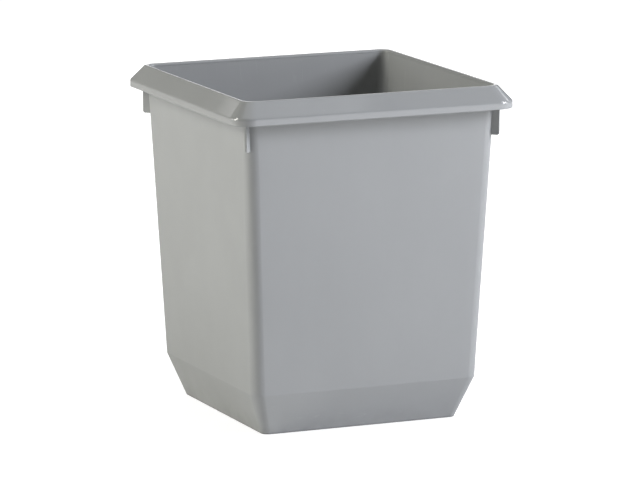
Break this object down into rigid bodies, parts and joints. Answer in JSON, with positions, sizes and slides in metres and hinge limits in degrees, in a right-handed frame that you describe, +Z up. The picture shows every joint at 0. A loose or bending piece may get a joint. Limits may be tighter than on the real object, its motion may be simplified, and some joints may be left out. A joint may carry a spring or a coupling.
{
  "type": "wastebasket",
  "caption": "Square tapered plastic wastebasket with a chamfered foot band, a sloping lift-off rim collar and thin corner lugs that stop stacked baskets from jamming.",
  "frame": {"origin": "centre of the square footprint, on the floor plane that the foot ring stands on", "axes": "+Z up to the mouth, the longest extent; +X and +Y square to the two pairs of side walls"},
  "size_m": [0.3284, 0.3284, 0.37],
  "materials": {
    "tub_plastic": "satin grey moulded polypropylene with a fine spark-eroded grain",
    "collar_plastic": "smoother semi-gloss grey moulded polypropylene"
  },
  "bodies": {
    "tub_body": {"tub": "tub_plastic"},
    "collar_body": {"rim_collar": "collar_plastic"}
  },
  "joints": [
    {"name": "collar_lift", "type": "slide", "parent": "tub_body", "child": "collar_body", "axis": [0, 0, 1], "range_m": [0, 0.06]}
  ]
}
